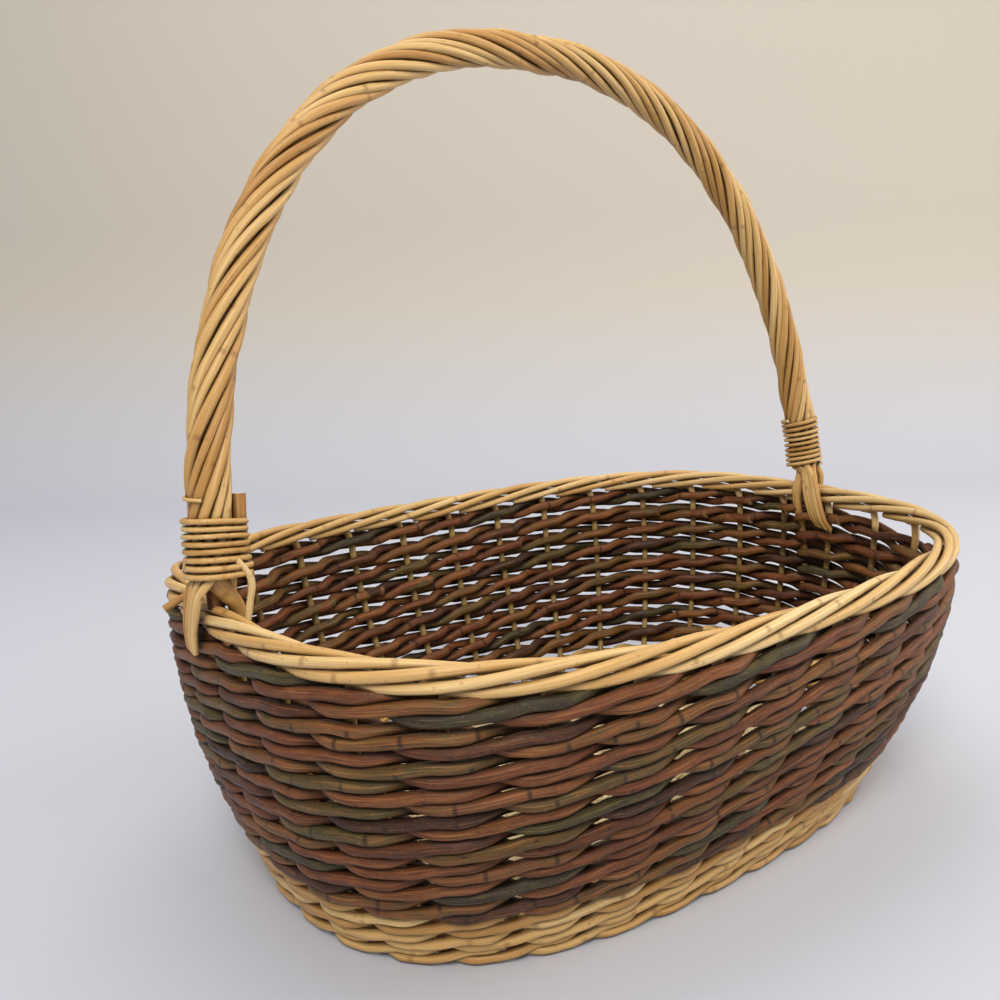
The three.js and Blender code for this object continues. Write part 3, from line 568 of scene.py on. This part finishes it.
def addStakes():
    for index in range(basket["stakes"]):
        points = stakePath(index, border["run"] + dice.uniform(-0.12, 0.2))
        lengths = lengthsAlong(points)
        thick = border["thick"] + dice.uniform(-0.15, 0.15)
        marks = [*border["marks"], lengths[-1]]
        radius = np.interp(lengths, marks, [*border["radii"], thick, border["thin"]])
        upright = dice.uniform(0.1, 0.5)
        laid = dice.uniform(0.45, 0.95)
        tone = np.interp(lengths, border["toneMarks"], [upright, laid])
        number = f"stake_{index + 1:02d}"
        rods = [{"points": points, "radius": radius, "tone": tone}]
        piece = rodPiece(number + "_willow", rods, stakeWillow, [number],
                         sides=12, knotGap=61, knotSwell=0.2)
        piece.data.materials.append(buffWillow)
        heights = np.empty(len(piece.data.polygons) * 3)
        piece.data.polygons.foreach_get("center", heights)
        isLaid = heights[2::3] > (border["bottom"] - border["laidFrom"]) * mm
        piece.data.polygons.foreach_set("material_index", isLaid.astype(np.int32))


# Base: crossing sticks, and two rods paired round them in a close oval spiral
base = {
    "stick": 2.3, "height": 8.6, "rod": 1.85, "swing": 2.1, "turns": 27, "crossSticks": 7, "crossGap": 34,
    "stickGap": 6.5, "fanTurn": 26, "fanStart": 8,
    "startLength": 112, "startWidth": 16, "endLength": 194, "endWidth": 129, "squareness": 2.57,
    "stickEnd": 2, "stickLean": 0.6, "fanEnd": 0.96, "side": 1.1, "rodLength": 900,
    "rodWaver": 0.25, "rodWave": 430,
    "markWidth": 0.6, "fanMark": (150, 90), "spiralPoints": 250,
}


def addBase():
    ends = [math.radians(base["fanTurn"] * k) for k in (-2, -1, 0, 1, 2)]
    crossX = [(i - (base["crossSticks"] - 1) / 2) * base["crossGap"] for i in range(base["crossSticks"])]

    def oval(turn, share):
        halfLength = between(base["startLength"], base["endLength"], share)
        halfWidth = between(base["startWidth"], base["endWidth"], share)
        c, s = np.cos(turn), np.sin(turn)
        p = 2 / base["squareness"]
        return halfLength * np.sign(c) * np.abs(c) ** p, halfWidth * np.sign(s) * np.abs(s) ** p

    height = base["height"]
    sticks = []
    for x in crossX:
        edge = (1 - (abs(x) / base["endLength"]) ** base["squareness"]) ** (1 / base["squareness"])
        half = base["endWidth"] * edge - base["stickEnd"]
        sticks.append([(x, -half, height), (x, 0, height), (x + base["stickLean"], half, height)])
    bend = base["startLength"] - base["fanStart"]
    for k, turn in enumerate(ends):
        y = (k - 2) * base["stickGap"]
        tipX, tipY = [float(v) * base["fanEnd"] for v in oval(turn, 1.0)]
        places = [(-tipX, tipY), (-bend, y), (0, y), (bend, y), (tipX, tipY)]
        sticks.append([(*place, height) for place in places])
    rods = [
        {"points": smoothPath(stick, 6), "radius": base["stick"], "tone": dice.uniform(0.1, 0.7)}
        for stick in sticks]
    rodPiece("base_sticks_willow", rods, whiteWillow, ["base_slath"], knotGap=70)

    turns = base["turns"]
    turn = np.linspace(0, 2 * np.pi * turns, turns * base["spiralPoints"])
    share = turn / turn[-1]
    x, y = oval(turn, share)
    angle = np.unwrap(np.arctan2(y, x))
    length, width = base["fanMark"]
    crossTurns = [math.atan2(base["endWidth"] * base["markWidth"], stickX) for stickX in crossX]
    fanTurns = [math.atan2(math.sin(a) * width, length * math.cos(a)) for a in ends]
    marks = [*crossTurns, *[-a for a in crossTurns], *fanTurns, *[math.pi - a for a in fanTurns]]
    marks = np.sort(np.mod(marks, 2 * np.pi))
    around = np.concatenate([[marks[-1] - 2 * np.pi], marks, [marks[0] + 2 * np.pi]])
    steps = np.interp(np.mod(angle, 2 * np.pi), around, np.arange(-1, len(marks) + 1))
    outward = np.stack([x, y], 1)
    outward = outward / np.maximum(1, np.linalg.norm(outward, axis=1))[:, None]
    rods = []
    for sign in (-1, 1):
        lift = sign * base["swing"] * np.cos(np.pi * steps)
        side = sign * base["side"] * np.sin(np.pi * steps)
        points = np.stack([x + outward[:, 0] * side, y + outward[:, 1] * side, height + lift], 1)
        lengths = lengthsAlong(points)
        knots = np.arange(0, lengths[-1] + base["rodLength"], base["rodLength"])
        tone = dice.uniform(0.1, 0.95, len(knots))[np.searchsorted(knots, lengths, side="right") - 1]
        radius = base["rod"] + base["rodWaver"] * np.sin(lengths / base["rodWave"] + sign)
        rods.append({"points": points, "radius": radius, "tone": tone})
    rodPiece("base_weaving_willow", rods, whiteWillow, ["base_weave"],
             sides=7, knotSwell=0.1)


# Handle: ten rods laid round a bow, wound right-handed from end to end
handle = {
    "rise": 316, "roundness": 2.26, "lean": 36, "bow": 6.1, "turns": 5, "start": 24, "phase": 30,
    "middle": 8.95, "usual": 2.7, "radii": [2.9, 2.5, 2.7, 2.35, 2.95, 2.6, 2.4, 2.85, 2.55, 2.7],
    "gaps": [0.3, 0.2, 1.5, 0.2, 0.3, 1.4, 0.2, 0.25, 0.3, 1.2], "groups": [(0, 3), (3, 5), (5, 8), (8, 10)],
    "sway": [(0.07, 19, 2.1), (0.05, 47, 1)], "heave": (0.35, 31, 1.7), "tailRun": 45,
    "tailSlim": [0.68, 1, 1, 0.66], "tailGrain": 3.5, "butt": 1.06, "tip": 0.9, "legGrain": 3,
    "bowMarks": [0, 12, 80, 108], "bowRadii": [1.2, 2.6, 3.4],
    "legSpots": [(-5, 1, 14), (-11, 1, 4), (-11, 1, -6), (-5.5, 0, -29), (-2.5, 0, -63), (-5.5, 0, -79)],
}
archTurn = np.linspace(0, np.pi, 2001)
archPower = 2 / handle["roundness"]
archLift = np.abs(np.sin(archTurn)) ** archPower
archX = basket["rimHalfLength"] * np.sign(np.cos(archTurn)) * np.abs(np.cos(archTurn)) ** archPower
borderEnd = basket["borderHeight"] + basket["endLift"]
archPoints = np.stack([archX, handle["lean"] * archLift, borderEnd + handle["rise"] * archLift], 1)
archLengths = lengthsAlong(archPoints)
archLength = archLengths[-1]
archSide = np.array([0, -handle["rise"], handle["lean"]]) / math.hypot(handle["rise"], handle["lean"])


# Points round the arch, at lengths along it, distances from it and turns about it
def roundArch(length, radius, turn):
    pick = lambda at: np.stack([np.interp(at, archLengths, archPoints[:, k]) for k in range(3)], 1)
    low, high = [np.clip(length + side * probe["length"], 0, archLength) for side in (-1, 1)]
    centre, radial = pick(length), unit(np.cross(archSide, unit(pick(high) - pick(low))))
    radius, turn = np.broadcast_to(radius, len(centre)), np.broadcast_to(turn, len(centre))
    return centre + radius[:, None] * (radial * np.cos(turn)[:, None] + archSide * np.sin(turn)[:, None])


# The rods' tails at a foot. The outermost straddle the border on its outside, the innermost
# run down its inside, and the others stop under the binding. A station gives the distance
# outward from the rim's end, the middle and the width across, and the height over the rim
outerTails = {
    False: [(11, 2, 17, 17), (12.6, 5, 16, 6), (13, 8, 14, -5), (12.2, 10, 11, -16)],
    True: [(11, 0, 16, 15), (12.4, 1, 14, 3), (12.4, 2, 12, -6),
           (11.4, 2, 11, -13), (7, 3, 10, -19), (0.5, 3, 9, -23)],
}
innerTails = {
    False: [(-8.6, 4, 11, 15), (-9, 4, 11, 6), (-9.2, 4, 10, -3)],
    True: [(-9, -9, 13, 17), (-12.4, -14, 15, 5), (-13.8, -18.5, 16, -7),
           (-13, -21.5, 16, -16), (-8.5, -24, 16, -24)],
}
tailCounts = {False: (4, 2), True: (3, 5)}


def footSpot(far, outward, side, height):
    end = 1 if far else -1
    return [end * (basket["rimHalfLength"] + outward), side, borderEnd + height]


def footTails(ends, far):
    outerCount, innerCount = tailCounts[far]
    order = np.argsort([(-1 if far else 1) * place[0] for place in ends])
    tails = [[] for _ in ends]
    for stations, chosen in (
            (outerTails[far], order[:outerCount]), (innerTails[far], order[len(order) - innerCount:])):
        for rank, k in enumerate(sorted(chosen, key=lambda k: ends[k][1])):
            share = (rank + 0.5) / len(chosen) - 0.5
            tails[k] = [
                footSpot(far, outward, middle + width * share, height + 2 * share)
                for outward, middle, width, height in stations]
    return tails


def addHandle():
    radii = np.array(handle["radii"])
    widths = radii * 2 + np.array(handle["gaps"])
    turns = np.cumsum(widths) - widths / 2
    turns = turns / widths.sum() * 2 * np.pi
    run = np.linspace(handle["start"] + 1, archLength - handle["start"] - 1, 240)
    share = (run - run[0]) / (run[-1] - run[0])
    wound = math.radians(handle["phase"]) + 2 * np.pi * handle["turns"] * share
    wave = lambda k, size, length, shift: size * np.sin(share * length + k * shift)
    paths = []
    for k in range(len(radii)):
        sway = sum(wave(k, *sizes) for sizes in handle["sway"])
        reach = handle["middle"] - (handle["usual"] - radii[k]) + wave(k, *handle["heave"])
        paths.append(roundArch(run, reach, wound + turns[k] + sway))
    heads = footTails([path[0] for path in paths], True)
    tails = footTails([path[-1] for path in paths], False)
    rods = []
    for k, path in enumerate(paths):
        if heads[k]:
            head = smoothPath([*reversed(heads[k]), *path[:3]], handle["tailGrain"])
            path = np.vstack([head[:-2], path[2:]])
        if tails[k]:
            tail = smoothPath([*path[-3:], *tails[k]], handle["tailGrain"])
            path = np.vstack([path[:-2], tail[1:]])
        lengths = lengthsAlong(path)
        marks = [0, handle["tailRun"], lengths[-1] - handle["tailRun"], lengths[-1]]
        slim = np.interp(lengths, marks, handle["tailSlim"])
        radius = taper(path, radii[k] * handle["butt"], radii[k] * handle["tip"], k % 2 == 0) * slim
        rods.append({"points": path, "radius": radius, "tone": dice.uniform(0.1, 0.9)})
    for k, (first, last) in enumerate(handle["groups"]):
        rodPiece(f"handle_rods_{k + 1}", rods[first:last], buffWillow,
                 [f"handle_wrap_{k + 1}"], sides=12, waver=0.3, waverScale=90, knotGap=83, knotSwell=0.22)
    core = roundArch(np.linspace(handle["start"], archLength - handle["start"], 200), 0.0, 0.0)
    farLeg, nearLeg = [[footSpot(far, *spot) for spot in handle["legSpots"]] for far in (True, False)]
    path = np.vstack([
        smoothPath([*reversed(farLeg), core[0], core[1]], handle["legGrain"])[:-2], core,
        smoothPath([core[-2], core[-1], *nearLeg], handle["legGrain"])[2:]])
    lengths = lengthsAlong(path)
    fromEnd = np.minimum(lengths, lengths[-1] - lengths)
    radius = np.interp(fromEnd, handle["bowMarks"], [*handle["bowRadii"], handle["bow"]])
    rodPiece("handle_bow_rod", [{"points": path, "radius": radius, "tone": 0.45}], buffWillow,
             ["handle_bow"], sides=14, knotGap=120, knotSwell=0.2)


# Small rods at the near foot: the bow's butt in its bark, cut off behind the leg, and, as
# one piece, a pale strut, a stub that stands in the border, a tie round the leg and a twig
nearFoot = {
    "butt": [(1, 5, 34), (0, 5, 20), (-0.5, 5, 6)],
    "strut": [(-9, -7, 33), (-15.5, -8, 22), (-13.4, -8, 6), (-9.6, -8, -9)],
    "twig": [(6, 16, 14), (14, 20, 10), (21, 22, 6)],
    "stub": [30.0, 45.0, 57.0, 67.0], "stubReach": 14.8, "stubTurn": 0.15,
    "tie": (64, 66.5), "tieReach": 12.6, "tieWave": (0.5, 9), "tieTurn": (2.2, 4.6), "tiePoints": 24,
}


def addNearFoot():
    butt, strut, twig = [
        [footSpot(False, *spot) for spot in nearFoot[key]] for key in ("butt", "strut", "twig")]
    rodPiece("near_bow_butts", [{"points": smoothPath(butt, 4), "radius": 4.4, "tone": 0.42}], barkWillow,
             [], sides=12, waver=0.6, knotSwell=0.4)
    stub = roundArch(archLength - np.array(nearFoot["stub"]), nearFoot["stubReach"], nearFoot["stubTurn"])
    count = nearFoot["tiePoints"]
    height, waves = nearFoot["tieWave"]
    reach = nearFoot["tieReach"] + height * np.sin(np.linspace(0, waves, count))
    tie = roundArch(
        archLength - np.linspace(*nearFoot["tie"], count), reach, np.linspace(*nearFoot["tieTurn"], count))
    rods = [
        {"points": points, "radius": radius, "tone": tone}
        for points, radius, tone in (
            (smoothPath(strut, 3), 1.9, 1.0), (stub, 4.0, 0.0),
            (tie, 1.0, 0.7), (smoothPath(twig, 3), 2.1, 0.05))]
    rodPiece("near_foot_rods", rods, buffWillow, [], waver=0.4)


# Bindings: one thin rod wound round each foot of the handle. The near one stands off the
# leg where it passes over the stub, and its first turns lie a little wider.
binding = {
    "pitch": 4, "reach": 13.2, "loose": 0.5, "ends": 0.35, "turnPoints": 34,
    "climb": 0.5, "climbLoose": 0.8, "oval": 0.3, "ovalLoose": 0.5, "stubBulge": 5.2, "stubSpread": 0.5,
    "wide": 1.0, "wideTurns": 1.6, "radiusWave": (0.15, 0.9), "tone": 0.5, "toneWave": (0.2, 1.3),
}


def addBindings():
    for name, node, far, start, turns, spin, thick in (
            ("near_binding_rod", "near_handle_binding", False, 24, 8, 0.4, 1.55),
            ("far_binding_rod", "far_handle_binding", True, 22, 10, 2.2, 1.4)):
        t = np.linspace(0, turns - binding["ends"], turns * binding["turnPoints"])
        turn = 2 * np.pi * t + spin
        loose = dice.uniform(-binding["loose"], binding["loose"], (3, turns + 2))
        drift = [np.interp(t, np.arange(turns + 2), row) for row in loose]
        rise = start + binding["pitch"] * t + (binding["climb"] + drift[0]) * np.sin(turn)
        rise = rise + binding["climbLoose"] * drift[1]
        reach = binding["reach"] + binding["oval"] * np.sin(2 * turn) + binding["ovalLoose"] * drift[2]
        if not far:
            nearStub = np.abs((turn - nearFoot["stubTurn"] + np.pi) % (2 * np.pi) - np.pi)
            reach = reach + binding["stubBulge"] * np.exp(-(nearStub / binding["stubSpread"]) ** 2)
            reach = reach + binding["wide"] * np.clip(binding["wideTurns"] - t, 0, 1)
        points = roundArch(rise if far else archLength - rise, reach, turn)
        (thicker, radiusWave), (paler, toneWave) = binding["radiusWave"], binding["toneWave"]
        radius = thick + thicker * np.sin(t * radiusWave)
        rods = [{"points": points, "radius": radius, "tone": binding["tone"] + paler * np.sin(t * toneWave)}]
        rodPiece(name, rods, buffWillow, [node], sides=9, waver=0.45, knotSwell=0.12)


addWale()
addSiding()
addStakes()
addBase()
addHandle()
addNearFoot()
addBindings()
print(f"scene: {rodCount} rods made")


# Floor and backdrop: one pale sheet that sweeps up behind the basket
sheet = {
    "front": -1.6, "bend": 1.1, "bendRadius": 0.5, "top": (1.6, 3.2), "halfWidth": 4.0, "turned": -38.3,
    "warmFrom": 0.35,
}


def addStage():
    bend, radius, half = sheet["bend"], sheet["bendRadius"], sheet["halfWidth"]
    curve = np.linspace(0, math.pi / 2, 13)[1:]
    profile = [(sheet["front"], 0.0), (bend, 0.0)]
    profile += [(bend + radius * math.sin(a), radius - radius * math.cos(a)) for a in curve]
    profile += [sheet["top"]]
    facing = Matrix.Rotation(math.radians(sheet["turned"]), 3, "Z")
    vertices = [tuple(facing @ Vector((x, y, z))) for y, z in profile for x in (-half, half)]
    faces = [(2 * i, 2 * i + 1, 2 * i + 3, 2 * i + 2) for i in range(len(profile) - 1)]
    mesh = bpy.data.meshes.new("studio_sweep")
    mesh.from_pydata(vertices, [], faces)
    mesh.polygons.foreach_set("use_smooth", [True] * len(faces))
    sweep = bpy.data.objects.new("studio_sweep", mesh)
    bpy.context.scene.collection.objects.link(sweep)
    # Matt paper, cooler on the floor than on the backdrop
    paper = bpy.data.materials.new("studio_paper_matt")
    paper.use_nodes = True
    tree = paper.node_tree
    shader = tree.nodes["Principled BSDF"]
    place = addNode(tree, "ShaderNodeTexCoord", {}, {}, "Object")
    height = addNode(tree, "ShaderNodeSeparateXYZ", {}, [place], "Z")
    share = mapRange(tree, height, 0.0, sheet["warmFrom"], 0.0, 1.0)
    colour = mixColours(tree, share, linearColour("#c2c8d6"), linearColour("#cbc5ba"))
    tree.links.new(colour, shader.inputs["Base Color"])
    shader.inputs["Roughness"].default_value = 0.85
    shader.inputs["Specular IOR Level"].default_value = 0.2
    mesh.materials.append(paper)


addStage()

# Camera at the photograph's place, with its roll and its small shift. The focal length and
# the width of the picture are in pixels.
view = {
    "azimuth": -0.66803, "elevation": 0.18516, "roll": -0.03157, "distance": 686.2, "aim": 216.0,
    "focal": 1038.24, "pictureWidth": 1000, "sensor": 36, "shiftX": -0.0735, "shiftY": -0.0116,
    "clipStart": 0.02,
}
level = math.cos(view["elevation"])
back = Vector((
    math.sin(view["azimuth"]) * level, -math.cos(view["azimuth"]) * level, math.sin(view["elevation"])))
right = (-back).cross(Vector((0, 0, 1))).normalized()
upward = right.cross(-back).normalized()
cosRoll, sinRoll = math.cos(view["roll"]), math.sin(view["roll"])
right, upward = right * cosRoll + upward * sinRoll, upward * cosRoll - right * sinRoll
cameraData = bpy.data.cameras.new("camera")
cameraData.sensor_width = view["sensor"]
cameraData.lens = view["focal"] / view["pictureWidth"] * view["sensor"]
cameraData.shift_x = view["shiftX"]
cameraData.shift_y = view["shiftY"]
cameraData.clip_start = view["clipStart"]
camera = bpy.data.objects.new("camera", cameraData)
turned = Matrix((right, upward, back)).transposed().to_4x4()
turned.translation = (back * view["distance"] + Vector((0, 0, view["aim"]))) * mm
camera.matrix_world = turned
bpy.context.scene.collection.objects.link(camera)
bpy.context.scene.camera = camera


# Soft studio light: a broad key over the camera, a fill from the right, one from above
# and a pale sky
def addLight(name, place, aim, size, power, colour):
    data = bpy.data.lights.new(name, "AREA")
    data.shape = "RECTANGLE"
    data.size, data.size_y = size
    data.energy = power
    data.color = linearColour(colour)[:3]
    lamp = bpy.data.objects.new(name, data)
    lamp.location = place
    lamp.rotation_euler = (Vector(aim) - Vector(place)).to_track_quat("-Z", "Y").to_euler()
    bpy.context.scene.collection.objects.link(lamp)


addLight("key", (-1.1, -1.25, 1.75), (0, 0, 0.2), (0.8, 0.8), 34, "#fff3e2")
addLight("fill", (1.5, -0.9, 1.1), (0, 0, 0.15), (1.4, 1.4), 20, "#fff1e0")
addLight("top", (0.1, 0.5, 2.1), (0, 0, 0), (1.6, 1.6), 16, "#fffaf2")
world = bpy.data.worlds.new("sky")
world.use_nodes = True
sky = world.node_tree.nodes["Background"]
sky.inputs["Color"].default_value = linearColour("#e6e6ea")
sky.inputs["Strength"].default_value = 0.62
bpy.context.scene.world = world
bpy.context.scene.view_settings.view_transform = "Standard"

bpy.context.view_layer.update()
print("scene: done")
